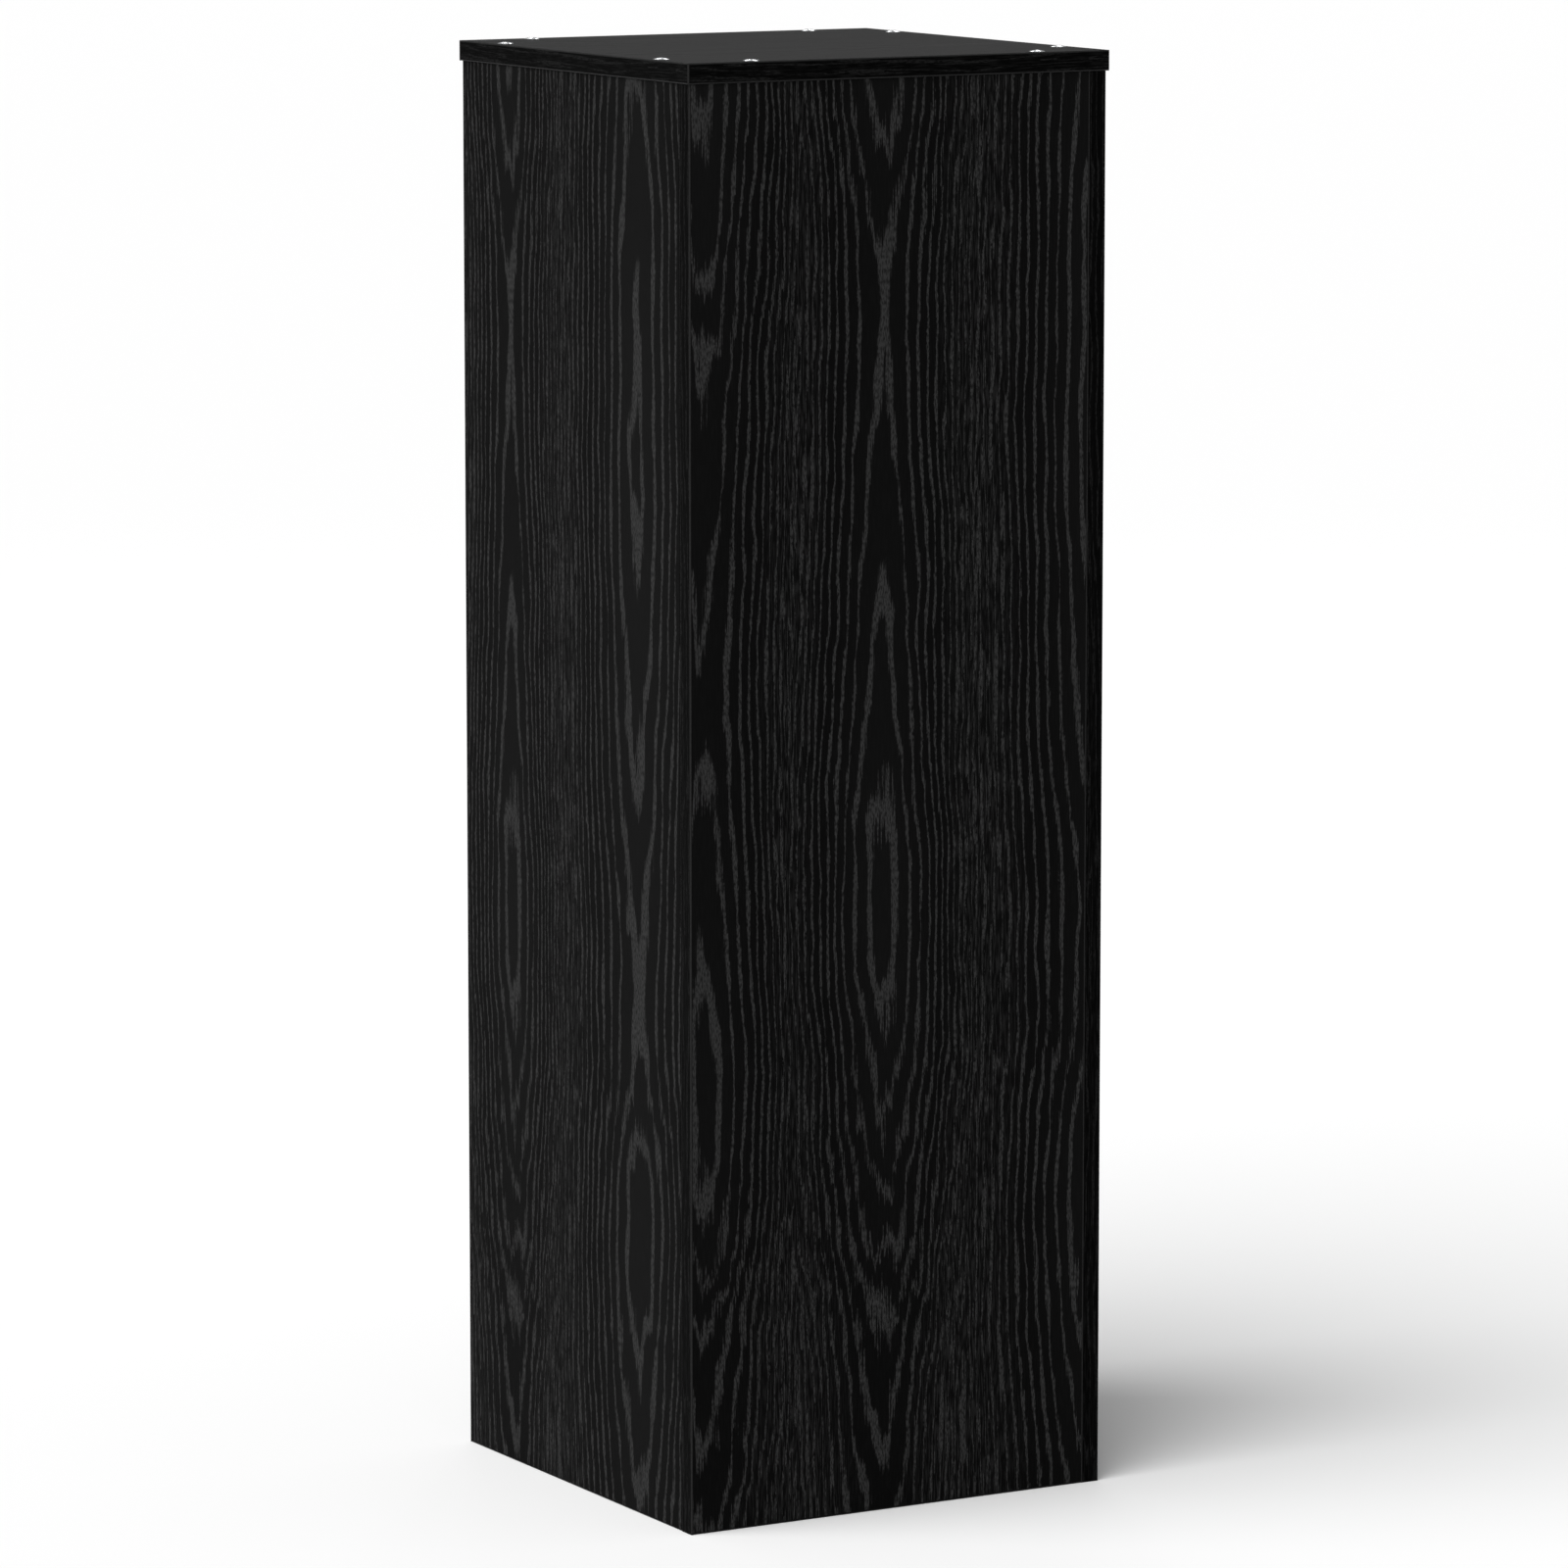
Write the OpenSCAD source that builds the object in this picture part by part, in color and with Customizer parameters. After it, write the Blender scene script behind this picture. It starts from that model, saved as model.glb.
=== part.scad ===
// Display plinth: four faced-chipboard panels under a top board that is screwed down from above.
// Millimetres, +Z up. The origin is the centre of the footprint, on the floor.
// The front panel faces -Y. Each further side is the same panel a quarter turn on, in the order
// front, right, back, left, so every panel covers the butt end of the one before it.

/* [Overall size] */
// Width and depth of the top board
top_w = 280; // [220:1:400]
// Height from the floor to the top surface
total_h = 850; // [500:1:1200]
// How far the top board stands out past the panels, on each side
overhang = 1.5; // [0.5:0.5:10]

/* [Boards] */
// Thickness of the faced chipboard
board_t = 12; // [12:1:19]
// Thickness of the edge bands
band_t = 1; // [0.5:0.1:1.5]
// Radius along the outer corners of an edge band
band_r = 0.8; // [0.2:0.1:1.5]

/* [Cam locks] */
// Diameter of a cam's seat
cam_d = 15; // [12:0.5:20]
// Wall of a cam round its hollow
cam_wall = 2; // [1.5:0.1:2.5]
// Space left between a bolt's head and the bottom of the cam's seat
cam_floor = 0.3; // [0.2:0.1:0.5]
// Distance from a panel's butt end to the axis of a cam
cam_in = 24; // [20:1:34]
// Distance of the outer cams from the foot and from the head of a panel
cam_end = 60; // [50:1:80]
// Cams on each side
cam_count = 3; // [2:1:4]

/* [Connecting bolts] */
// Diameter over the thread of a connecting bolt
bolt_thread_d = 5; // [4:0.5:6]
// Diameter of the core under the thread
bolt_core_d = 3.8; // [3:0.1:3.9]
// Length of the thread, which goes into the neighbour's face
bolt_thread_l = 8.5; // [6:0.5:10]
// Diameter of the collar that stops the bolt at the face
bolt_collar_d = 6.8; // [6:0.1:7]
// Thickness of the collar
bolt_collar_t = 1.5; // [1:0.1:3]
// Diameter of the shank
bolt_shank_d = 5.4; // [4.6:0.1:5.8]
// Diameter of the neck behind the head
bolt_neck_d = 4; // [3:0.1:4.4]
// Diameter of the head
bolt_head_d = 6.4; // [5:0.1:6.4]
// Thickness of the head
bolt_head_t = 2; // [1.5:0.1:2.5]

/* [Dowels] */
// Diameter of a dowel
dowel_d = 6; // [5:0.5:7]
// Length of a dowel
dowel_l = 30; // [25:1:40]
// Depth of a dowel's bore in the neighbour's face
dowel_face_depth = 9; // [6:0.5:10]

/* [Top screws] */
// Distance from a corner of the body to the axis of a screw, along the side
screw_in = 43.5; // [40:0.5:60]
// Length of a screw below the top surface
screw_l = 40; // [30:1:50]
// Diameter of the head
screw_head_d = 9.5; // [8:0.1:9.6]
// Height of the domed part of the head above the top surface
screw_dome = 0.9; // [0.5:0.1:1.5]
// Diameter over the thread
screw_thread_d = 5; // [4:0.1:5]
// Diameter of the core under the thread
screw_core_d = 3.4; // [2.6:0.1:3.6]
// Distance from one turn of the thread to the next
screw_pitch = 2.2; // [1.5:0.1:3]

/* [Clearances] */
// Clearance round a fitting, on the radius
slack = 0.1; // [0.05:0.05:0.2]
// Spare depth at the bottom of a blind bore
bore_spare = 0.5; // [0.2:0.1:1]

/* [Hidden] */
$fn = 64;
// How far a cutter runs past the face that it opens
over = 1;
SIDES = ["front", "right", "back", "left"];
body_w = top_w - 2 * overhang;
panel_l = body_w - board_t;
panel_h = total_h - board_t;
free_x = -body_w / 2;
butt_x = free_x + panel_l;
face_y = -body_w / 2;
mid_y = face_y + board_t / 2;
band_flat = 0.1;
round_r = min(band_r, band_t - band_flat);

cam_x = butt_x - cam_in;
cam_past = bolt_head_d / 2 + cam_floor;
cam_depth = board_t / 2 + cam_past;
cam_hollow_d = cam_d - 2 * slack - 2 * cam_wall;
cam_pitch = (panel_h - 2 * cam_end) / (cam_count - 1);
cam_heights = [for (i = [0:cam_count - 1]) cam_end + i * cam_pitch];
dowel_heights = [for (i = [0:cam_count - 2]) cam_end + (i + 0.5) * cam_pitch];
cam_slot = bolt_neck_d + 2 * slack;
// Angles from the bolt's direction, in degrees: where the head goes in, and where the slot stops
cam_entry_angle = -140;
cam_slot_spare = 2;
cam_slot_end = asin(cam_slot / cam_hollow_d) + cam_slot_spare;
cam_cross_w = 7;
cam_cross_t = 1.4;
cam_cross_depth = 1.6;
arrow_l = 2;
arrow_w = 2.4;
arrow_depth = 0.4;

bolt_bore_d = max(bolt_collar_d, bolt_head_d) + 4 * slack;
bolt_shank_end = cam_in - cam_d / 2 - slack;
bolt_seat = sqrt(pow(cam_hollow_d / 2, 2) - pow(bolt_head_d / 2, 2)) - slack;
bolt_pitch = 1.4;
bolt_cross_w = 3.6;
bolt_cross_t = 0.8;
bolt_cross_depth = 1.2;

dowel_bevel = 0.8;
screw_shank_d = screw_thread_d - 2 * slack;
screw_tip_l = 4;
screw_tip_d = 0.4;
screw_cone_h = (screw_head_d - screw_shank_d) / 2;
screw_x = body_w / 2 - screw_in;
screw_cross_w = 5;
screw_cross_t = 1;
screw_cross_depth = 2.2;
// Share of its width that a cross recess keeps at the bottom
recess_taper = 0.4;
// Most of a thread's pitch that one flank of a ring takes
ring_flank = 0.35;

function named(prefix) = [for (s = SIDES) str(prefix, s)];
function sided(suffix) = [for (s = SIDES) str(s, suffix)];

// Turns its children from the front to side i.
module on_side(i) {
    rotate([0, 0, 90 * i]) children();
}

// Section of an edge band: glued side on x = 0, both outer corners rounded.
module band_section() {
    square([band_t - round_r, board_t]);
    translate([0, round_r]) square([band_t, board_t - 2 * round_r]);
    intersection() {
        square([band_t, board_t]);
        for (y = [round_r, board_t - round_r]) {
            translate([band_t - round_r, y]) circle(r = round_r);
        }
    }
}

// Two crossed blades that narrow downwards from z = 0, as a driver's tip does.
module cross_recess(w, t, depth) {
    low = recess_taper * w / 2;
    for (a = [0, 90]) {
        rotate([90, 0, a]) {
            translate([0, 0, -t / 2]) linear_extrude(t) {
                polygon([
                    [-w / 2, over], [w / 2, over], [w / 2, 0],
                    [low, -depth], [-low, -depth], [-w / 2, 0]
                ]);
            }
        }
    }
}

// A thread drawn as rings: sharp crests on a core, from z = 0 down.
module ringed_rod(core_d, crest_d, pitch, l) {
    turns = floor(l / pitch);
    crest = (crest_d - core_d) / 2;
    ridge = min(crest, ring_flank * pitch);
    rotate_extrude() polygon(concat(
        [[0, 0], [core_d / 2, 0]],
        [for (i = [0:turns - 1]) each [
            [core_d / 2, -(i + 0.5) * pitch + ridge],
            [core_d / 2 + crest, -(i + 0.5) * pitch],
            [core_d / 2, -(i + 0.5) * pitch - ridge]
        ]],
        [[core_d / 2, -l], [0, -l]]
    ));
}

// Places its children at each cam of the side in front, with z along the cam's axis into the plinth.
module at_cams() {
    for (z = cam_heights) {
        translate([cam_x, mid_y, z]) rotate([-90, 0, 0]) children();
    }
}

// Places its children at each bolt, with z from the joint into the neighbour's face.
module at_bolts() {
    for (z = cam_heights) {
        translate([butt_x, mid_y, z]) rotate([0, 90, 0]) children();
    }
}

// Places its children at each dowel, with z from the joint into the neighbour's face.
module at_dowels() {
    for (z = dowel_heights) {
        translate([butt_x, mid_y, z]) rotate([0, 90, 0]) children();
    }
}

// Places its children on the top surface over each screw of the front side.
module at_screws() {
    for (x = [-screw_x, screw_x]) {
        translate([x, mid_y, total_h]) children();
    }
}

// Every bore of the joint between the front panel and its right neighbour.
module joint_bores() {
    at_cams() translate([0, 0, -cam_past]) cylinder(d = cam_d, h = cam_depth + over);
    at_bolts() translate([0, 0, -cam_in]) cylinder(d = bolt_bore_d, h = cam_in);
    at_bolts() cylinder(d = bolt_thread_d + 2 * slack, h = bolt_thread_l + bore_spare);
    at_dowels() translate([0, 0, dowel_face_depth - dowel_l - 2 * bore_spare]) {
        cylinder(d = dowel_d + 2 * slack, h = dowel_l + 2 * bore_spare);
    }
}

// Every bore for the top screws of the front side.
module screw_bores() {
    at_screws() {
        translate([0, 0, -screw_l - bore_spare]) {
            cylinder(d = screw_thread_d + 2 * slack, h = screw_l + bore_spare + over);
        }
        translate([0, 0, -screw_cone_h]) {
            cylinder(
                d1 = screw_shank_d + 2 * slack,
                d2 = screw_head_d + 2 * slack + 2 * over,
                h = screw_cone_h + over
            );
        }
    }
}

module panel() {
    color("#1c1c1c") difference() {
        translate([free_x + band_t, face_y, band_t]) {
            cube([panel_l - band_t, board_t, panel_h - band_t]);
        }
        joint_bores();
        on_side(-1) joint_bores();
        screw_bores();
    }
}

module end_band() {
    color("#141414") translate([free_x + band_t, face_y, 0]) {
        mirror([1, 0, 0]) linear_extrude(panel_h) band_section();
    }
}

module foot_band() {
    color("#141414") translate([free_x + band_t, face_y, band_t]) {
        rotate([0, 90, 0]) linear_extrude(panel_l - band_t) band_section();
    }
}

module top_board() {
    core_w = top_w - 2 * band_t;
    color("#2a2a2a") difference() {
        translate([-core_w / 2, -core_w / 2, panel_h]) cube([core_w, core_w, board_t]);
        for (i = [0:3]) on_side(i) screw_bores();
    }
}

// The side bands go on first, so the front and back bands run over their ends.
module top_band(side) {
    l = side % 2 == 0 ? top_w : top_w - 2 * band_t;
    color("#141414") translate([-l / 2, -top_w / 2 + band_t, total_h]) {
        rotate([-90, 0, 0]) rotate([0, 90, 0]) linear_extrude(l) band_section();
    }
}

// A cast cup, open at the bottom of its seat. The bolt's head goes in through the round entry,
// and a quarter turn and more brings its neck along the slot until the wall holds the head.
module cam_lock() {
    arrow_tip = cam_hollow_d / 2 + cam_wall / 2;
    color("#b9bcbf") difference() {
        translate([0, 0, slack - cam_past]) cylinder(d = cam_d - 2 * slack, h = cam_depth - slack);
        translate([0, 0, -cam_past]) {
            cylinder(d = cam_hollow_d, h = cam_past + bolt_head_d / 2 + slack);
        }
        rotate([0, 90, cam_entry_angle]) cylinder(d = bolt_head_d + 2 * slack, h = cam_d);
        rotate([0, 0, cam_entry_angle]) rotate_extrude(angle = cam_slot_end - cam_entry_angle) {
            translate([(cam_hollow_d - cam_wall) / 2, -cam_slot / 2]) square([2 * cam_wall, cam_slot]);
        }
        translate([0, 0, board_t / 2]) cross_recess(cam_cross_w, cam_cross_t, cam_cross_depth);
        translate([0, 0, board_t / 2 - arrow_depth]) linear_extrude(arrow_depth + over) {
            arrow_foot = arrow_tip - arrow_l;
            polygon([[arrow_tip, 0], [arrow_foot, arrow_w / 2], [arrow_foot, -arrow_w / 2]]);
        }
    }
}

// Screwed into the neighbour's face up to its collar; its head is held inside the cam.
module cam_bolt() {
    head_top = bolt_seat - cam_in;
    color("#9fa3a6") {
        rotate([180, 0, 0]) ringed_rod(bolt_core_d, bolt_thread_d, bolt_pitch, bolt_thread_l);
        translate([0, 0, -bolt_collar_t]) cylinder(d = bolt_collar_d, h = bolt_collar_t);
        translate([0, 0, -bolt_shank_end]) cylinder(d = bolt_shank_d, h = bolt_shank_end);
        translate([0, 0, head_top]) cylinder(d = bolt_neck_d, h = -head_top);
        difference() {
            translate([0, 0, head_top - bolt_head_t]) cylinder(d = bolt_head_d, h = bolt_head_t);
            translate([0, 0, head_top - bolt_head_t]) mirror([0, 0, 1]) {
                cross_recess(bolt_cross_w, bolt_cross_t, bolt_cross_depth);
            }
        }
    }
}

// A plain round dowel with bevelled ends.
module dowel() {
    color("#c9a876") translate([0, 0, dowel_face_depth - dowel_l - bore_spare]) {
        cylinder(d1 = dowel_d - 2 * dowel_bevel, d2 = dowel_d, h = dowel_bevel);
        translate([0, 0, dowel_bevel]) cylinder(d = dowel_d, h = dowel_l - 2 * dowel_bevel);
        translate([0, 0, dowel_l - dowel_bevel]) {
            cylinder(d1 = dowel_d, d2 = dowel_d - 2 * dowel_bevel, h = dowel_bevel);
        }
    }
}

// A raised countersunk head, a plain shank through the top board and a ringed thread below it.
module top_screw() {
    dome_r = (pow(screw_head_d / 2, 2) + pow(screw_dome, 2)) / (2 * screw_dome);
    thread_l = screw_l - board_t - screw_tip_l;
    color("#d8dadc") difference() {
        union() {
            intersection() {
                translate([0, 0, screw_dome - dome_r]) sphere(r = dome_r);
                cylinder(d = screw_head_d, h = screw_dome + over);
            }
            translate([0, 0, -screw_cone_h]) {
                cylinder(d1 = screw_shank_d, d2 = screw_head_d, h = screw_cone_h);
            }
            translate([0, 0, -board_t]) cylinder(d = screw_shank_d, h = board_t - screw_cone_h);
            translate([0, 0, -board_t]) {
                ringed_rod(screw_core_d, screw_thread_d, screw_pitch, thread_l);
            }
            translate([0, 0, -screw_l]) cylinder(d1 = screw_tip_d, d2 = screw_core_d, h = screw_tip_l);
        }
        translate([0, 0, screw_dome]) {
            cross_recess(screw_cross_w, screw_cross_t, screw_cross_depth);
        }
    }
}

for (i = [0:3]) {
    side = SIDES[i];
    on_side(i) panel();
    on_side(i) end_band();
    on_side(i) foot_band();
    on_side(i) top_band(i);
    on_side(i) at_cams() cam_lock();
    on_side(i) at_bolts() cam_bolt();
    on_side(i) at_dowels() dowel();
    on_side(i) at_screws() top_screw();
}
top_board();
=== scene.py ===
# %% [markdown]
# # A display plinth in black oak decor
#
# A plinth lifts one object to where people can look at it. This one comes flat in a box: four
# boards of faced chipboard make a square column, and a fifth board, a little wider, closes the
# top and is screwed down from above. Nothing on it moves.
#
# The sizes and places come from a CAD model, which is loaded first and never changed. Blender's
# work is everything that the eye needs on top of that: soft edges, the printed oak figure, the
# shine of the screws, and light.

# %% The CAD frame
import math

import bmesh
import bpy
from mathutils import Matrix, Vector


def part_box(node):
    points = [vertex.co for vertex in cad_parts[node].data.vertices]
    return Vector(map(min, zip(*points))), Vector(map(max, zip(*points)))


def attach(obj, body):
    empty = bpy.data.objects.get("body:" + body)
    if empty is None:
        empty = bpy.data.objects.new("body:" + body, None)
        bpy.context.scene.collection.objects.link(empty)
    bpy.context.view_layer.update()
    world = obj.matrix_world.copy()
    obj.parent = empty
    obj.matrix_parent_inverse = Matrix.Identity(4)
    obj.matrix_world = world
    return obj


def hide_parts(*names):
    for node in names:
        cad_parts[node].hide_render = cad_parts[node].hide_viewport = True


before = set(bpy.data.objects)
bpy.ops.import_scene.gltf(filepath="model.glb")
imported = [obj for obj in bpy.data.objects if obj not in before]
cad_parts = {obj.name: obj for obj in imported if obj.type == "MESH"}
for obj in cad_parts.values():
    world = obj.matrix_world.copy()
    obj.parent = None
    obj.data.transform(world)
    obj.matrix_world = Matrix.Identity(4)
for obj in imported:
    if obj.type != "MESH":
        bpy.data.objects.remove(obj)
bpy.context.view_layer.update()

MM = 0.001
SIDES = ("front", "right", "back", "left")
print("CAD nodes:", len(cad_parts))

# %% [markdown]
# ## How the sides repeat
#
# Each side is the front side, turned a quarter turn further about the upright axis. Every board
# covers the raw end of the one before it, so seen from above the four of them overlap like the
# blades of a pinwheel. So each piece is made once, at the front, and turned into its place.

# %% A quarter turn
QUARTER = math.radians(90)


def quarter_turn(side):
    """The turn that brings a piece from the front to another side."""
    return Matrix.Rotation(QUARTER * SIDES.index(side), 4, "Z")


for side in SIDES:
    outward = quarter_turn(side) @ Vector((0, -1, 0))
    print(side, "faces", [round(c) for c in outward])

# %% [markdown]
# ## From bmesh to a piece
#
# A bmesh is a mesh on the workbench. When its shape is done it is written into a mesh, given to
# an object that sits at the origin, and told two things: which body of the CAD model it rides
# on, and which finish it has. The CAD nodes that it stands for are hidden. The plinth doesn't
# move, so there is one body, the root.
#
# Smooth shading blends light across faces. That is right on a round shank and wrong on a crisp
# corner, so edges that turn by more than a limit are marked sharp. It is wrong on a big flat board
# as well: there the softness of a tiny bevel would leak over the whole face, so on boards and
# bands only the faces of the bevel are smooth.

# %% Finishing a piece
SHARP_TURN = math.radians(40)
FLAT_TURN = math.radians(0.5)
WELD = 0.001 * MM


def make_piece(bm, name, nodes, materials, rounded=None):
    """Writes a bmesh to an object that stands for CAD nodes, and frees the bmesh."""
    for face in bm.faces if rounded is None else rounded:
        face.smooth = True
    for edge in bm.edges:
        edge.smooth = edge.is_manifold and edge.calc_face_angle() < SHARP_TURN
    mesh = bpy.data.meshes.new(name)
    bm.to_mesh(mesh)
    bm.free()
    for material in materials:
        mesh.materials.append(material)
    piece = bpy.data.objects.new(name, mesh)
    bpy.context.scene.collection.objects.link(piece)
    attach(piece, "root")
    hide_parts(*nodes)
    return piece


def merged_copy(*nodes):
    """A bmesh of CAD nodes, with their loose triangles joined and their flat faces made whole."""
    bm = bmesh.new()
    for node in nodes:
        bm.from_mesh(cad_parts[node].data)
    bmesh.ops.remove_doubles(bm, verts=bm.verts, dist=WELD)
    bmesh.ops.dissolve_limit(bm, angle_limit=FLAT_TURN, verts=bm.verts, edges=bm.edges)
    return bm


# %% [markdown]
# ## Colour and nodes
#
# Colours are written as hex values, as a paint chart gives them. Those are made for screens, and
# Cycles counts in amounts of light, so one function turns the first into the second.
#
# Every material is a small graph. One function adds a node, sets its own settings, and feeds each
# input with a value or with another node.

# %% Colour and node helpers
def from_hex(code):
    """A hex colour as the linear red, green, blue and alpha that shaders use."""
    channels = [int(code[i:i + 2], 16) / 255 for i in (1, 3, 5)]
    linear = [c / 12.92 if c <= 0.04045 else ((c + 0.055) / 1.055) ** 2.4 for c in channels]
    return (*linear, 1.0)


def add(tree, kind, inputs=None, **settings):
    """Adds a node: settings are its properties, and inputs are values, nodes or sockets."""
    node = tree.nodes.new(kind)
    for name, value in settings.items():
        setattr(node, name, value)
    for socket, value in (inputs or {}).items():
        if isinstance(value, bpy.types.Node):
            value = value.outputs[0]
        if isinstance(value, bpy.types.NodeSocket):
            tree.links.new(value, node.inputs[socket])
        else:
            node.inputs[socket].default_value = value
    return node


def new_material(name):
    """An empty material and its node tree."""
    material = bpy.data.materials.new(name)
    material.use_nodes = True
    material.node_tree.nodes.clear()
    return material, material.node_tree


print("half way up the screen's greys is", round(from_hex("#808080")[0], 3), "of the light")

# %% [markdown]
# ## The oak figure
#
# The boards are faced with printed and embossed melamine. The print copies a flat-sawn oak board.
# Growth rings are nested cones in the trunk. A saw cut that passes close to the middle of a cone
# shows its rings as nested points, the cathedral figure, and further out it shows them as straight
# lines that lie closer and closer together.
#
# So the figure is drawn the way the saw draws it. Each cathedral is a column of the sheet. Its
# distance from the pith at a height is a curve, and the distance of any point is that depth and
# the sideways distance, put together as the two short sides of a right triangle. The rings are
# whole numbers of a count that grows with this distance. A point of the figure is where the
# column's own depth crosses a whole ring, so each curve is given as heights and ring counts.
# A right triangle adds the squares of its sides. A power just under two gives sharper points.

# %% Ring counts up each cathedral
# Millimetres: where the sheet starts, how tall it is, and the deepest that a curve can go.
SHEET_LOW = -60.0
SHEET_SPAN = 1020.0
DEPTH_SPAN = 45.0
# The count of rings is the rate times a power of the distance in millimetres.
RING_RATE = 0.0324
RING_POWER = 1.5
POINTEDNESS = 1.85

NARROW_FIGURE = (
    (-60, 8.2), (43, 7), (113, 6), (148, 5), (193, 4), (240, 3), (300, 2), (345, 1.62),
    (393, 1.66), (424, 2), (455, 2.36), (539, 3), (640, 3.8), (700, 4.04), (745, 3.9),
    (800, 3), (850, 2.2), (960, 1.6),
)
EDGE_FIGURE = (
    (-60, 8.2), (50, 6), (118, 5), (155, 4), (193, 3), (240, 2.7), (300, 2.8), (380, 3.4),
    (450, 4.05), (490, 4.2), (528, 4), (600, 3.4), (673, 3), (727, 2), (803, 1), (960, 0.3),
)
BROAD_FIGURE = (
    (-60, 3.9), (35, 3), (120, 2), (182, 1.4), (247, 2), (292, 2.85), (332, 3.03), (370, 2.87),
    (461, 2), (591, 1), (638, 0.8), (681, 1), (738, 1.06), (797, 1.3), (868, 2), (960, 2.7),
)


def ring_depth(count):
    """The distance from the pith, in millimetres, at which this many rings have passed."""
    return (count / RING_RATE) ** (1 / RING_POWER)


# Each column: its place across the sheet in millimetres, and how widely its rings are spread
# on its left and on its right.
COLUMNS = (
    (-112, 1.4, 1.4, BROAD_FIGURE),
    (8, 1.1, 1.3, EDGE_FIGURE),
    (128, 1.3, 1.2, NARROW_FIGURE),
    (283, 1.75, 1.7, BROAD_FIGURE),
    (433, 1.1, 1.1, EDGE_FIGURE),
)
print("ring 1 is", round(ring_depth(1), 1), "mm out, and ring 6 is", round(ring_depth(6), 1))

# %% [markdown]
# The rings of a real print are never clean lines. Slow noise lets the columns wander, finer noise
# makes the lines tremble, and a noise that is under a millimetre wide but long along the grain
# frays the points into single pores, because a pore is a fine tube that starts and stops where it
# likes. The same kind of noise breaks the lines into short dashes.
#
# Between two columns the rings crowd so closely that they run into each other. There a noise
# tangles the count by a part of a ring, and faint long streaks lie between the lines. In the
# middle of a column the opposite holds: the early wood is wide, and its ground is a shade paler.
#
# All of it is one node group, which every faced board and edge band shares. It reads a place on
# the sheet in millimetres: x across the grain and z along it.

# %% The decor as a node group
# Each line: the grain of a noise across and along, and its reach, in millimetres.
WANDER_ACROSS = ((110, 170, 12.0), (24, 60, 7.0), (4, 12, 1.7), (0.9, 2.2, 1.3))
WANDER_ALONG = ((11, 60, 85.0), (0.9, 35, 55.0))
# How softly the rings of two columns melt together where they meet, in millimetres.
COLUMN_BLEND = 3.0
# Distances from the pith, in millimetres: where crowding sets in and is full, and where the
# pale ground starts to fade and is gone.
CROWDED = (38, 50)
PALE_GROUND = (12, 34)
# Parts of a ring: how far crowded rings tangle, half of a line's width, how much that swells
# along the grain, and its soft edge.
TANGLE = 1.5
LINE_HALF_WIDTH = (0.12, 0.18)
LINE_SWELL = 0.3
LINE_EDGE = 0.06
# Grains of the other noises, across and along, in millimetres.
TANGLE_GRAIN = (2.0, 50)
SWELL_GRAIN = (9, 45)
DASH_GRAIN = (0.8, 3.0)
STREAK_GRAIN = (0.9, 12)
# Shares of pore grey: in the dashes, in the faint streaks, in a full line and in the pale ground.
DASH_GREY = (0.3, 1.25)
STREAK_GREY = (0.03, 0.34)
LINE_GREY = 0.92
GROUND_GREY = 0.08


def noise_on_sheet(tree, place, across, along, detail=2.0):
    """Noise whose grain is so many millimetres across and along the sheet."""
    squeezed = add(tree, "ShaderNodeVectorMath", {0: place, 1: (1 / across, 0, 1 / along)},
                   operation="MULTIPLY")
    return add(tree, "ShaderNodeTexNoise", {"Vector": squeezed, "Scale": 1.0, "Detail": detail})


def shifted(tree, value, noise, reach):
    """A value moved by a noise, by up to about half of reach either way."""
    centred = add(tree, "ShaderNodeMath", {0: noise, 1: 0.5}, operation="SUBTRACT")
    return add(tree, "ShaderNodeMath", {0: centred, 1: reach, 2: value}, operation="MULTIPLY_ADD")


def column_distance(tree, across, along, place, spread_left, spread_right, figure):
    """The distance from the pith that one cathedral column gives at a point of the sheet."""
    share = add(tree, "ShaderNodeMapRange",
                {"Value": along, "From Min": SHEET_LOW, "From Max": SHEET_LOW + SHEET_SPAN})
    curve = add(tree, "ShaderNodeFloatCurve", {"Value": share})
    points = curve.mapping.curves[0].points
    while len(points) < len(figure):
        points.new(0.5, 0.5)
    for point, (height, count) in zip(points, figure):
        point.location = ((height - SHEET_LOW) / SHEET_SPAN, ring_depth(count) / DEPTH_SPAN)
    curve.mapping.update()
    aside = add(tree, "ShaderNodeMath", {0: across, 1: place}, operation="SUBTRACT")
    flanks = [add(tree, "ShaderNodeMath", {0: aside, 1: share_of_width}, operation="MULTIPLY")
              for share_of_width in (-1 / spread_left, 1 / spread_right)]
    sideways = add(tree, "ShaderNodeMath", {0: flanks[0], 1: flanks[1]}, operation="MAXIMUM")
    depth = add(tree, "ShaderNodeMath", {0: curve, 1: DEPTH_SPAN}, operation="MULTIPLY")
    sides = [add(tree, "ShaderNodeMath", {0: side, 1: POINTEDNESS}, operation="POWER")
             for side in (sideways, depth)]
    both = add(tree, "ShaderNodeMath", {0: sides[0], 1: sides[1]}, operation="ADD")
    return add(tree, "ShaderNodeMath", {0: both, 1: 1 / POINTEDNESS}, operation="POWER")


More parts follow.
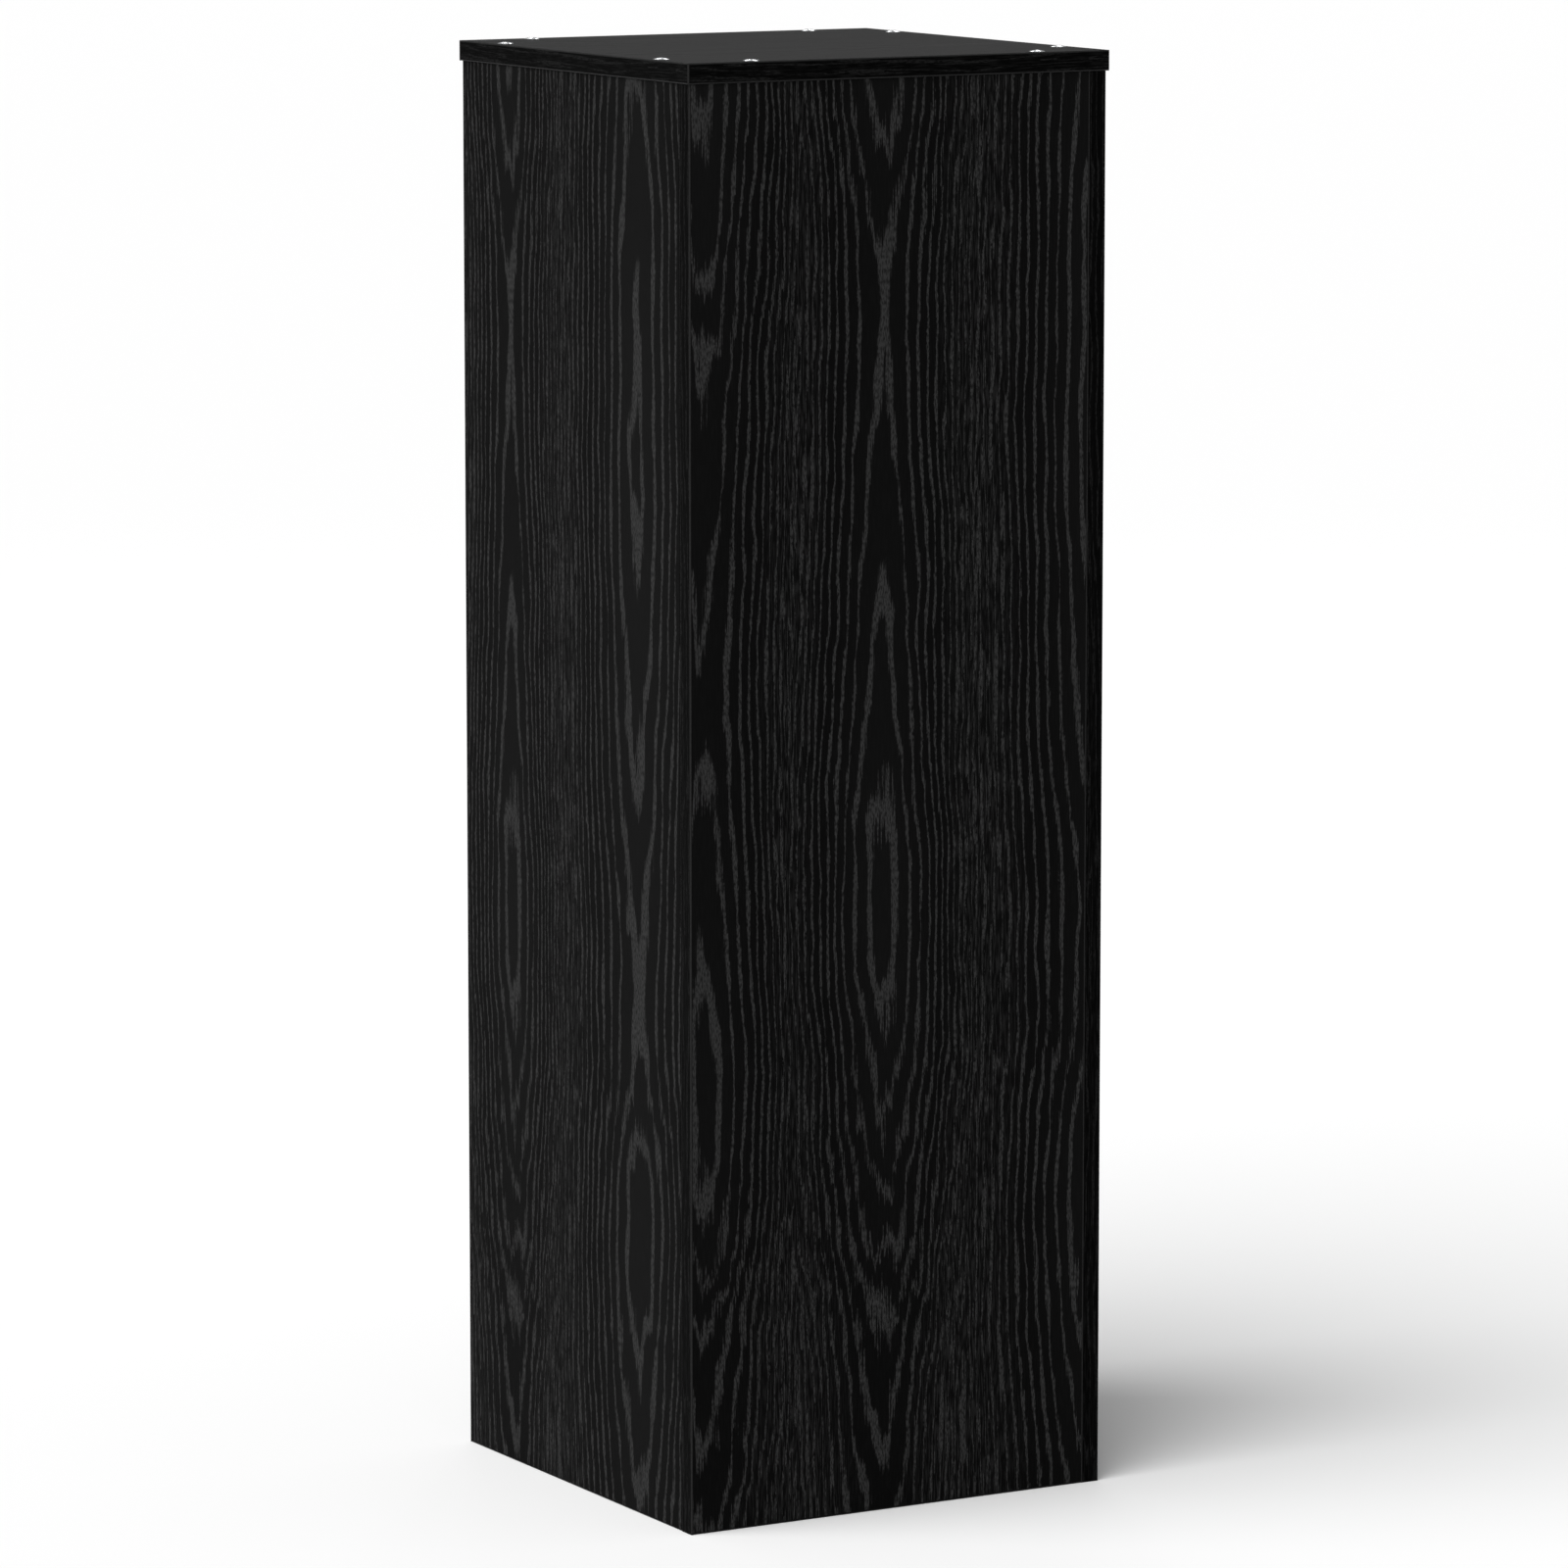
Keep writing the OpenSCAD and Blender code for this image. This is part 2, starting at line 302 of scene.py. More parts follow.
def make_decor():
    """The printed oak: out come the share of pore grey and the height of the embossing."""
    tree = bpy.data.node_groups.new("black_oak_decor", "ShaderNodeTree")
    tree.interface.new_socket("Place", in_out="INPUT", socket_type="NodeSocketVector")
    tree.interface.new_socket("Pores", in_out="OUTPUT", socket_type="NodeSocketFloat")
    tree.interface.new_socket("Height", in_out="OUTPUT", socket_type="NodeSocketFloat")
    place = add(tree, "NodeGroupInput").outputs["Place"]
    parts = add(tree, "ShaderNodeSeparateXYZ", {0: place})

    across = parts.outputs["X"]
    along = parts.outputs["Z"]
    for *grain, reach in WANDER_ACROSS:
        across = shifted(tree, across, noise_on_sheet(tree, place, *grain), reach)
    for *grain, reach in WANDER_ALONG:
        along = shifted(tree, along, noise_on_sheet(tree, place, *grain), reach)

    distance = None
    for column in COLUMNS:
        here = column_distance(tree, across, along, *column)
        if distance is None:
            distance = here
        else:
            distance = add(tree, "ShaderNodeMath", {0: distance, 1: here, 2: COLUMN_BLEND},
                           operation="SMOOTH_MIN")
    powered = add(tree, "ShaderNodeMath", {0: distance, 1: RING_POWER}, operation="POWER")
    counted = add(tree, "ShaderNodeMath", {0: powered, 1: RING_RATE}, operation="MULTIPLY")
    crowding = add(tree, "ShaderNodeMapRange",
                   {"Value": distance, "From Min": CROWDED[0], "From Max": CROWDED[1]})
    tangle = add(tree, "ShaderNodeMath", {0: crowding, 1: TANGLE}, operation="MULTIPLY")
    rings = shifted(tree, counted, noise_on_sheet(tree, place, *TANGLE_GRAIN, 1.0), tangle)

    # How near the closest ring is, against that ring's own width, makes the line.
    nearest = add(tree, "ShaderNodeMath", {0: rings}, operation="ROUND")
    chance = add(tree, "ShaderNodeTexWhiteNoise", {"W": nearest}, noise_dimensions="1D")
    own_width = add(tree, "ShaderNodeMapRange",
                    {"Value": chance.outputs["Value"], "To Min": LINE_HALF_WIDTH[0],
                     "To Max": LINE_HALF_WIDTH[1]})
    width = shifted(tree, own_width.outputs[0], noise_on_sheet(tree, place, *SWELL_GRAIN),
                    LINE_SWELL)
    inner = add(tree, "ShaderNodeMath", {0: width, 1: LINE_EDGE}, operation="SUBTRACT")
    off_ring = add(tree, "ShaderNodeMath", {0: rings, 1: 0.5}, operation="PINGPONG")
    line = add(tree, "ShaderNodeMapRange",
               {"Value": off_ring, "From Min": width, "From Max": inner},
               interpolation_type="SMOOTHSTEP")

    dashes = add(tree, "ShaderNodeMapRange",
                 {"Value": noise_on_sheet(tree, place, *DASH_GRAIN, 1.0), "From Min": 0.38,
                  "From Max": 0.62, "To Min": DASH_GREY[0], "To Max": DASH_GREY[1]})
    pores = add(tree, "ShaderNodeMath", {0: line, 1: dashes}, operation="MULTIPLY")
    streaks = add(tree, "ShaderNodeMapRange",
                  {"Value": noise_on_sheet(tree, place, *STREAK_GRAIN, 1.0), "From Min": 0.48,
                   "From Max": 0.6})
    faintness = add(tree, "ShaderNodeMapRange",
                    {"Value": crowding, "To Min": STREAK_GREY[0], "To Max": STREAK_GREY[1]})
    haze = add(tree, "ShaderNodeMath", {0: streaks, 1: faintness}, operation="MULTIPLY")
    light = add(tree, "ShaderNodeMath", {0: pores, 1: haze}, operation="MAXIMUM")
    ground = add(tree, "ShaderNodeMapRange",
                 {"Value": distance, "From Min": PALE_GROUND[0], "From Max": PALE_GROUND[1],
                  "To Min": GROUND_GREY, "To Max": 0.0})
    total = add(tree, "ShaderNodeMath", {0: light, 1: LINE_GREY, 2: ground},
                operation="MULTIPLY_ADD")
    height = add(tree, "ShaderNodeMath", {0: 1.0, 1: pores}, operation="SUBTRACT")
    add(tree, "NodeGroupOutput", {"Pores": total, "Height": height})
    return tree


decor = make_decor()
print("decor nodes:", len(decor.nodes))

# %% [markdown]
# ## Black faced board and edge band
#
# The melamine is satin black with dark grey pores. Its emboss is so fine that it swallows most
# of the shine, so the IOR stays that of plastic and the specular level is turned far down. What
# is left is the look of the real thing: nearly no shine when seen square on, and a soft grey
# sheen at a glancing angle, which is why the top looks so much lighter than the sides.
#
# A board is cut from its sheet somewhere, and may be laid either end up. Two Mapping nodes say
# where: the first turns the plinth until the piece faces front, and the second lays it on the
# sheet. Object coordinates are metres, so the first one also makes them millimetres.

# %% Black melamine
BOARD_TONES = (from_hex("#0b0b0b"), from_hex("#323232"))
BAND_TONES = (from_hex("#050505"), from_hex("#1a1a1a"))
EMBOSS_DEPTH = 0.04 * MM
EMBOSS_STRENGTH = 0.5
SHEEN = 0.005
SATIN = (0.32, 0.46)


def black_decor(name, side, lay, sheet_place, tones=BOARD_TONES):
    """Black oak decor on a piece, laid on the sheet by a turn and a place in millimetres."""
    material, tree = new_material(name)
    coordinates = add(tree, "ShaderNodeTexCoord").outputs["Object"]
    facing = add(tree, "ShaderNodeMapping",
                 {"Vector": coordinates, "Scale": (1 / MM, 1 / MM, 1 / MM),
                  "Rotation": (0, 0, -QUARTER * SIDES.index(side))})
    laid = add(tree, "ShaderNodeMapping",
               {"Vector": facing, "Rotation": [math.radians(a) for a in lay],
                "Location": (sheet_place[0], 0, sheet_place[1])})
    print_on_board = add(tree, "ShaderNodeGroup", node_tree=decor)
    tree.links.new(laid.outputs[0], print_on_board.inputs["Place"])
    share = print_on_board.outputs["Pores"]
    colour = add(tree, "ShaderNodeMix", {"Factor": share, 6: tones[0], 7: tones[1]},
                 data_type="RGBA")
    roughness = add(tree, "ShaderNodeMapRange",
                    {"Value": share, "To Min": SATIN[0], "To Max": SATIN[1]})
    relief = add(tree, "ShaderNodeBump",
                 {"Height": print_on_board.outputs["Height"], "Distance": EMBOSS_DEPTH,
                  "Strength": EMBOSS_STRENGTH})
    shader = add(tree, "ShaderNodeBsdfPrincipled",
                 {"Base Color": colour.outputs[2], "Roughness": roughness,
                  "Specular IOR Level": SHEEN, "Normal": relief})
    add(tree, "ShaderNodeOutputMaterial", {"Surface": shader})
    return material


# %% [markdown]
# ## The raw core
#
# Under the facing the board is chipboard: flakes of pale wood a few millimetres long, glued and
# pressed. It shows only inside the bores and seats, so it matters when the plinth is taken apart.
# Voronoi cells, stretched along the board, stand for the flakes. The sawn ends get a coat of
# plain black, mottled by the brush.

# %% Chipboard and plain black
# Flakes to the metre: across the board, through it and along it.
FLAKES = (1000, 1000, 330)


def chipboard():
    """Pressed flakes of wood, a millimetre wide and three long."""
    material, tree = new_material("chipboard")
    coordinates = add(tree, "ShaderNodeTexCoord").outputs["Object"]
    laid = add(tree, "ShaderNodeMapping", {"Vector": coordinates, "Scale": FLAKES})
    flakes = add(tree, "ShaderNodeTexVoronoi", {"Vector": laid, "Scale": 1.0})
    tone = add(tree, "ShaderNodeSeparateColor", {0: flakes.outputs["Color"]})
    colour = add(tree, "ShaderNodeMix",
                 {"Factor": tone, 6: from_hex("#8f6f45"), 7: from_hex("#cdb184")},
                 data_type="RGBA")
    relief = add(tree, "ShaderNodeBump",
                 {"Height": flakes.outputs["Distance"], "Distance": 0.2 * MM, "Strength": 0.6})
    shader = add(tree, "ShaderNodeBsdfPrincipled",
                 {"Base Color": colour.outputs[2], "Roughness": 0.85, "IOR": 1.45,
                  "Normal": relief})
    add(tree, "ShaderNodeOutputMaterial", {"Surface": shader})
    return material


def plain_black(name, dark, light, spot):
    """A dull black plastic or paint, with spots of a given size."""
    material, tree = new_material(name)
    coordinates = add(tree, "ShaderNodeTexCoord").outputs["Object"]
    mottle = add(tree, "ShaderNodeTexNoise", {"Vector": coordinates, "Scale": 1 / spot})
    colour = add(tree, "ShaderNodeMix", {"Factor": mottle, 6: from_hex(dark), 7: from_hex(light)},
                 data_type="RGBA")
    shader = add(tree, "ShaderNodeBsdfPrincipled",
                 {"Base Color": colour.outputs[2], "Roughness": 0.5, "Specular IOR Level": 0.05})
    add(tree, "ShaderNodeOutputMaterial", {"Surface": shader})
    return material


chips = chipboard()
sealer = plain_black("black_end_sealer", "#080808", "#141414", 2.0 * MM)

# %% [markdown]
# ## The four panels
#
# A panel's shape is right in the CAD model, with every seat and bore in its place, but its edges
# are perfectly sharp, and nothing real is. So a copy is merged and the twelve edges of its box
# get a bevel of a quarter of a millimetre, which is what a saw and a wipe of sandpaper leave.
# The melamine is about three tenths of a millimetre thick with its glue. The copy is cut through
# at that depth, so a bore has a black rim before the pale core begins. The sawn ends are sealed
# in black too, so nothing pale shows in the fine groove beside a rounded band.

# %% Boards with eased edges
EASED = 0.25 * MM
FACING = 0.3 * MM
NEAR = 0.01 * MM
DECOR, SEALED, CORE = range(3)


def runs_along_box(edge, low, high):
    """True for an edge that lies on one of the twelve edges of a box, so on two of its walls."""
    walls = 0
    for axis in range(3):
        for wall in (low[axis], high[axis]):
            walls += all(abs(vert.co[axis] - wall) < NEAR for vert in edge.verts)
    return walls == 2


def faced_board(name, node, face_material):
    """A CAD board with eased edges: decor on its faces, black ends, and raw core in its bores."""
    low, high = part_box(node)
    bm = merged_copy(node)
    thin = min(range(3), key=lambda axis: high[axis] - low[axis])
    for depth in (low[thin] + FACING, high[thin] - FACING):
        plane = Vector()
        plane[thin] = 1
        bmesh.ops.bisect_plane(bm, geom=bm.verts[:] + bm.edges[:] + bm.faces[:],
                               plane_co=plane * depth, plane_no=plane)
    rim = [edge for edge in bm.edges if runs_along_box(edge, low, high)]
    eased = bmesh.ops.bevel(bm, geom=rim, offset=EASED, offset_type="OFFSET", segments=2,
                            profile=0.5, affect="EDGES", material=-1, clamp_overlap=True)
    for face in bm.faces:
        middle = face.calc_center_median()
        depths = [min(middle[axis] - low[axis], high[axis] - middle[axis]) for axis in range(3)]
        if depths[thin] < FACING:
            face.material_index = DECOR
        elif min(depths) < FACING:
            face.material_index = SEALED
        else:
            face.material_index = CORE
    return make_piece(bm, name, [node], [face_material, sealer, chips],
                      eased["faces"])


# Where each panel lies on the decor sheet: turn about its own face, place across and along.
PANEL_ON_SHEET = {
    "front": (0, 138.5, 0),
    "right": (180, 340, 838),
    "back": (0, 30, 70),
    "left": (0, 206.5, 22),
}
for side, (turn, across, along) in PANEL_ON_SHEET.items():
    look = black_decor(f"black_oak_{side}", side, (0, turn, 0), (across, along))
    board = faced_board(f"{side}_faced_panel", f"{side}_panel", look)
    print(board.name, len(board.data.polygons), "faces")

# %% [markdown]
# ## The top board
#
# The same board again, with its grain running from left to right and eight countersunk holes.

# %% Top board
top_look = black_decor("black_oak_top", "front", (-90, -90, 0), (330, 240))
top = faced_board("faced_top", "top_board", top_look)
print(top.name, len(top.data.polygons), "faces")

# %% [markdown]
# ## Edge bands
#
# A band is a strip of plastic, a millimetre thick, glued to a sawn edge and trimmed with a
# rounding cutter that takes off its two outer corners. The cutter goes through the black print
# into the greyer plastic of the strip. This thin round is painted grey: partly that plastic's own
# tone, and partly a painted highlight, the light line that draws the near corner of the plinth.
# The strip starts as a cube the size of the CAD band. The two long edges that face away from the
# glue get the cutter's radius. On the top board the front and back strips run past the other two,
# so there the cutter goes down the ends as well.

# %% Bands for the uprights, the foot and the top
CUTTER_RADIUS = 0.8 * MM
# The grey of the trimmed round: the cut plastic's own paler tone plus a painted highlight for the
# corner's light line.
trim_grey_highlight = plain_black("trimmed_band_grey_highlight", "#181818", "#272727", 1.1 * MM)


def edge_band(name, node, outward, along, material, free_ends=False):
    """A strip the size of a CAD band, rounded where the trimming cutter has run."""
    low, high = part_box(node)
    centre = (low + high) / 2
    bm = bmesh.new()
    bmesh.ops.create_cube(bm, size=1.0)
    bmesh.ops.scale(bm, vec=high - low, verts=bm.verts)
    bmesh.ops.translate(bm, vec=centre, verts=bm.verts)
    cut = []
    for edge in bm.edges:
        a, b = (vert.co - centre for vert in edge.verts)
        on_outside = a.dot(outward) > 0 and b.dot(outward) > 0
        lengthwise = abs((a - b).dot(along)) > CUTTER_RADIUS
        if on_outside and (lengthwise or free_ends):
            cut.append(edge)
    trimmed = bmesh.ops.bevel(bm, geom=cut, offset=CUTTER_RADIUS, offset_type="OFFSET",
                              segments=6, profile=0.5, affect="EDGES", material=-1,
                              clamp_overlap=True)["faces"]
    # The rounded faces take the grey that carries the painted highlight.
    for face in trimmed:
        face.material_index = 1
    return make_piece(bm, name, [node], [material, trim_grey_highlight], trimmed)


UP = Vector((0, 0, 1))
for count, side in enumerate(SIDES):
    turn = quarter_turn(side)
    left_out = turn @ Vector((-1, 0, 0))
    front_out = turn @ Vector((0, -1, 0))
    end_look = black_decor(f"band_end_{side}", side, (0, 0, -90), (196, 100 + 60 * count),
                           BAND_TONES)
    foot_look = black_decor(f"band_foot_{side}", side, (-90, -90, 0), (196, 300), BAND_TONES)
    top_band_look = black_decor(f"band_top_{side}", side, (0, 90, 0), (-645, 150), BAND_TONES)
    edge_band(f"{side}_end_edging", f"{side}_end_band", left_out, UP, end_look)
    edge_band(f"{side}_foot_edging", f"{side}_foot_band", -UP, left_out, foot_look)
    edge_band(f"{side}_top_edging", f"top_band_{side}", front_out, left_out, top_band_look,
              free_ends=side in ("front", "back"))
print("bands:", 3 * len(SIDES))

# %% [markdown]
# ## Bright zinc-plated steel
#
# The screws and bolts are steel with a thin coat of bright zinc. It is a metal, so its colour is
# all in its reflection, and a very fine mottle in the roughness is what the plating bath leaves.

# %% Metals
def metal(name, colour, roughness, spot, relief_depth):
    """A metal whose roughness drifts between two values over spots of a given size."""
    material, tree = new_material(name)
    coordinates = add(tree, "ShaderNodeTexCoord").outputs["Object"]
    spots = add(tree, "ShaderNodeTexNoise",
                {"Vector": coordinates, "Scale": 1 / spot, "Detail": 3.0})
    drift = add(tree, "ShaderNodeMapRange",
                {"Value": spots, "From Min": 0.3, "From Max": 0.7, "To Min": roughness[0],
                 "To Max": roughness[1]})
    relief = add(tree, "ShaderNodeBump",
                 {"Height": spots, "Distance": relief_depth, "Strength": 0.4})
    shader = add(tree, "ShaderNodeBsdfPrincipled",
                 {"Base Color": from_hex(colour), "Metallic": 1.0, "Roughness": drift,
                  "Normal": relief})
    add(tree, "ShaderNodeOutputMaterial", {"Surface": shader})
    return material


plated = metal("bright_zinc_plating", "#e4e6e8", (0.14, 0.26), 0.6 * MM, 0.01 * MM)
cast = metal("die_cast_zinc", "#a9acb0", (0.4, 0.58), 0.35 * MM, 0.05 * MM)

# %% [markdown]
# ## The top screws
#
# A raised countersunk screw has a low dome on a cone. A lathe would make it, and so does a spin:
# half of its outline, turned once round. The thread is a small triangle that is spun too, but
# lifted a little with each step, so it climbs. The cross recess is cut with a cross that narrows
# towards its tip.

# %% Screw sizes, read from the CAD screws
front_low, front_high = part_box("top_screws_front")
board_low, board_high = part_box("top_board")
top_z = board_high.z
board_thickness = board_high.z - board_low.z
head_radius = (front_high.y - front_low.y) / 2
dome_rise = front_high.z - top_z
screw_length = top_z - front_low.z
screw_x = (front_high.x - front_low.x) / 2 - head_radius
screw_y = (front_high.y + front_low.y) / 2
print("head", round(2 * head_radius / MM, 2), "mm, dome", round(dome_rise / MM, 2), "mm")
print("screw length", round(screw_length / MM, 1), "mm, of which",
      round(board_thickness / MM, 1), "mm lie in the top board")

# %% One screw on the origin
SHANK_RADIUS = 2.4 * MM
CORE_RADIUS = 1.7 * MM
CREST_RADIUS = 2.5 * MM
THREAD_PITCH = 2.2 * MM
THREAD_ROOT = CORE_RADIUS - 0.1 * MM
THREAD_HALF = 0.55 * MM
NECK_DOWN = 0.5 * MM
POINT_LENGTH = 4 * MM
RIM_LAND = 0.12 * MM
DOME_STEPS = 8
LATHE_STEPS = 48
THREAD_STEPS = 20
LATHE_WELD = 0.002 * MM
FULL_TURN = 4 * QUARTER


def lathe(bm, outline):
    """Spins an outline of (radius, height) points once round the upright axis."""
    verts = [bm.verts.new((radius, 0, height)) for radius, height in outline]
    edges = [bm.edges.new(pair) for pair in zip(verts, verts[1:])]
    bmesh.ops.spin(bm, geom=verts + edges, cent=(0, 0, 0), axis=(0, 0, 1), dvec=(0, 0, 0),
                   angle=FULL_TURN, steps=LATHE_STEPS, use_merge=True, use_duplicate=False)
    bmesh.ops.remove_doubles(bm, verts=bm.verts, dist=LATHE_WELD)


def climbing_thread(bm, start, turns):
    """A triangular ridge that winds down a core."""
    corners = [(THREAD_ROOT, start + THREAD_HALF), (CREST_RADIUS, start),
               (THREAD_ROOT, start - THREAD_HALF)]
    verts = [bm.verts.new((radius, 0, height)) for radius, height in corners]
    ridge = bm.faces.new(verts)
    bmesh.ops.spin(bm, geom=[ridge], cent=(0, 0, 0), axis=(0, 0, 1),
                   dvec=(0, 0, -THREAD_PITCH / THREAD_STEPS), angle=FULL_TURN * turns,
                   steps=THREAD_STEPS * turns, use_merge=False, use_duplicate=False)


def screw_bmesh():
    """Head, shank, thread and point, with the top surface of the board at height 0."""
    dome_radius = (head_radius ** 2 + dome_rise ** 2) / (2 * dome_rise)
    half_angle = math.asin(head_radius / dome_radius)
    dome = []
    for step in range(DOME_STEPS + 1):
        angle = half_angle * step / DOME_STEPS
        height = dome_rise - dome_radius * (1 - math.cos(angle))
        dome.append((dome_radius * math.sin(angle), height))
    cone_foot = -RIM_LAND - (head_radius - SHANK_RADIUS)
    outline = dome + [
        (head_radius, -RIM_LAND),
        (SHANK_RADIUS, cone_foot),
        (SHANK_RADIUS, -board_thickness),
        (CORE_RADIUS, -board_thickness - NECK_DOWN),
        (CORE_RADIUS, -screw_length + POINT_LENGTH),
        (0, -screw_length),
    ]
    bm = bmesh.new()
    lathe(bm, outline)
    turns = int((screw_length - board_thickness - POINT_LENGTH) / THREAD_PITCH) - 1
    climbing_thread(bm, -board_thickness - THREAD_PITCH, turns)
    bmesh.ops.recalc_face_normals(bm, faces=bm.faces)
    return bm


screw = screw_bmesh()
print("screw faces:", len(screw.faces))

# %% [markdown]
# The recess is cut by a boolean: one object is the screw and the other is the cutter, and the
# result is read back as a mesh. The cutter's two blades cross, and each is a cube whose lower
# end is scaled down. They start a millimetre above the dome, so no two faces coincide.

# %% Cutting the cross recess
RECESS_WIDTH = 6.2 * MM
RECESS_BLADE = 1.2 * MM
RECESS_DEPTH = 2.2 * MM
RECESS_TIP = (0.35, 0.6, 1.0)
CLEARANCE = 1 * MM


def recess_cutter():
    """Two crossed blades that narrow downwards, with their tops above the dome."""
    bm = bmesh.new()
    blade_height = RECESS_DEPTH + CLEARANCE
    middle = dome_rise + CLEARANCE - blade_height / 2
    for angle in (0, QUARTER):
        made = bmesh.ops.create_cube(bm, size=1.0)["verts"]
        bmesh.ops.scale(bm, vec=(RECESS_WIDTH, RECESS_BLADE, blade_height), verts=made)
        bmesh.ops.translate(bm, vec=(0, 0, middle), verts=made)
        tip = [vert for vert in made if vert.co.z < 0]
        bmesh.ops.scale(bm, vec=RECESS_TIP, verts=tip)
        bmesh.ops.rotate(bm, cent=(0, 0, 0), matrix=Matrix.Rotation(angle, 3, "Z"), verts=made)
    return bm


def cut_away(bm, cutter):
    """The first bmesh less the second, by a boolean on two short-lived objects."""
    objects = []
    for shape in (bm, cutter):
        mesh = bpy.data.meshes.new("bench")
        shape.to_mesh(mesh)
        shape.free()
        bench = bpy.data.objects.new("bench", mesh)
        bpy.context.scene.collection.objects.link(bench)
        objects.append(bench)
    body, tool = objects
    cut = body.modifiers.new("cut", "BOOLEAN")
    cut.operation = "DIFFERENCE"
    cut.solver = "EXACT"
    cut.use_self = True
    cut.object = tool
    result = bmesh.new()
    result.from_object(body, bpy.context.evaluated_depsgraph_get())
    for bench in objects:
        bpy.data.objects.remove(bench)
    return result


screw = cut_away(screw, recess_cutter())
print("screw faces with its recess:", len(screw.faces))

# %% [markdown]
# Eight copies go to their holes. Each is left at another angle, because a driver stops where the
# screw is tight.

# %% Placing the screws
# Degrees that the stop angle differs by, from side to side and from end to end.
STOP_BY_SIDE = 37
STOP_BY_END = 61


def copy_in(bm, pattern, matrix):
    """Adds a copy of a mesh to a bmesh, moved by a matrix."""
    before = len(bm.verts)
    bm.from_mesh(pattern)
    bm.verts.ensure_lookup_table()
    bmesh.ops.transform(bm, matrix=matrix, verts=bm.verts[before:])


screw_pattern = bpy.data.meshes.new("screw_pattern")
screw.to_mesh(screw_pattern)
screw.free()
for side_count, side in enumerate(SIDES):
    bm = bmesh.new()
    for end_count, x in enumerate((-screw_x, screw_x)):
        stop_angle = math.radians(STOP_BY_SIDE * side_count + STOP_BY_END * end_count)
        spot = Matrix.Translation((x, screw_y, top_z))
        copy_in(bm, screw_pattern, quarter_turn(side) @ spot @ Matrix.Rotation(stop_angle, 4, "Z"))
    make_piece(bm, f"{side}_panel_screws", [f"top_screws_{side}"], [plated])
bpy.data.meshes.remove(screw_pattern)
print("screws placed:", 2 * len(SIDES))

# %% [markdown]
# ## Cam locks and their bolts
#
# Inside, each corner is pulled together by three cams. A bolt is screwed into one board, its head
# goes into the cam in the other, and a turn of the cam draws it tight. The CAD shapes are right,
# so they are merged and get a fine bevel: castings have no sharp edges, and turned steel has
# only a trace of one.

# %% Softened metal fittings
CAST_BEVEL = 0.12 * MM
STEEL_BEVEL = 0.03 * MM


def softened(name, node, material, width):
    """A CAD fitting with its sharp edges taken off."""
    bm = merged_copy(node)
    sharp = [edge for edge in bm.edges
             if edge.is_manifold and edge.calc_face_angle() > SHARP_TURN]
    bmesh.ops.bevel(bm, geom=sharp, offset=width, offset_type="OFFSET", segments=2, profile=0.5,
                    affect="EDGES", material=-1, clamp_overlap=True)
    return make_piece(bm, name, [node], [material])


for side in SIDES:
    softened(f"{side}_cams", f"cam_locks_{side}", cast, CAST_BEVEL)
    softened(f"{side}_bolts", f"cam_bolts_{side}", plated, STEEL_BEVEL)
print("cams and bolts:", 2 * len(SIDES), "pieces")

# %% [markdown]
# ## Dowels
#
# A furniture dowel is a turned beech pin with straight flutes, which let the air and the glue
# out of the hole, and bevelled ends, which help it in. A circle with every other pair of points
# pushed in, drawn out to its length, is all of that.

# %% Beech and the dowels
FLUTES = 20
FLUTE_DEPTH = 0.25 * MM
END_BEVEL = 0.7 * MM
LEVEL = 0.1 * MM
# Streaks to the metre, along X, Y and Z.
STREAKS = (300, 300, 3000)


def beech():
    """Pale beech. The pins lie flat, so the streaks are thin in height and long across."""
    material, tree = new_material("turned_beech")
    coordinates = add(tree, "ShaderNodeTexCoord").outputs["Object"]
    laid = add(tree, "ShaderNodeMapping", {"Vector": coordinates, "Scale": STREAKS})
    streaks = add(tree, "ShaderNodeTexNoise", {"Vector": laid, "Scale": 1.0, "Detail": 3.0})
    colour = add(tree, "ShaderNodeMix",
                 {"Factor": streaks, 6: from_hex("#b5834f"), 7: from_hex("#dcb888")},
                 data_type="RGBA")
    shader = add(tree, "ShaderNodeBsdfPrincipled",
                 {"Base Color": colour.outputs[2], "Roughness": 0.65, "IOR": 1.45})
    add(tree, "ShaderNodeOutputMaterial", {"Surface": shader})
    return material


def pin_mesh(radius, length):
    """One fluted pin, upright, with its middle at the origin."""
    bm = bmesh.new()
    bmesh.ops.create_circle(bm, cap_ends=True, radius=radius, segments=2 * FLUTES)
    bm.verts.ensure_lookup_table()
    inner = (radius - FLUTE_DEPTH) / radius
    bmesh.ops.scale(bm, vec=(inner, inner, 1), verts=list(bm.verts)[::2])
    grown = bmesh.ops.extrude_face_region(bm, geom=list(bm.faces))["geom"]
    raised = [item for item in grown if isinstance(item, bmesh.types.BMVert)]
    bmesh.ops.translate(bm, vec=(0, 0, length), verts=raised)
    bmesh.ops.translate(bm, vec=(0, 0, -length / 2), verts=bm.verts)
    bmesh.ops.recalc_face_normals(bm, faces=bm.faces)
    rims = [edge for edge in bm.edges
            if abs(edge.verts[0].co.z - edge.verts[1].co.z) < LEVEL]
    bmesh.ops.bevel(bm, geom=rims, offset=END_BEVEL, offset_type="OFFSET", segments=2,
                    profile=0.5, affect="EDGES", material=-1, clamp_overlap=True)
    mesh = bpy.data.meshes.new("pin_pattern")
    bm.to_mesh(mesh)
    bm.free()
    return mesh


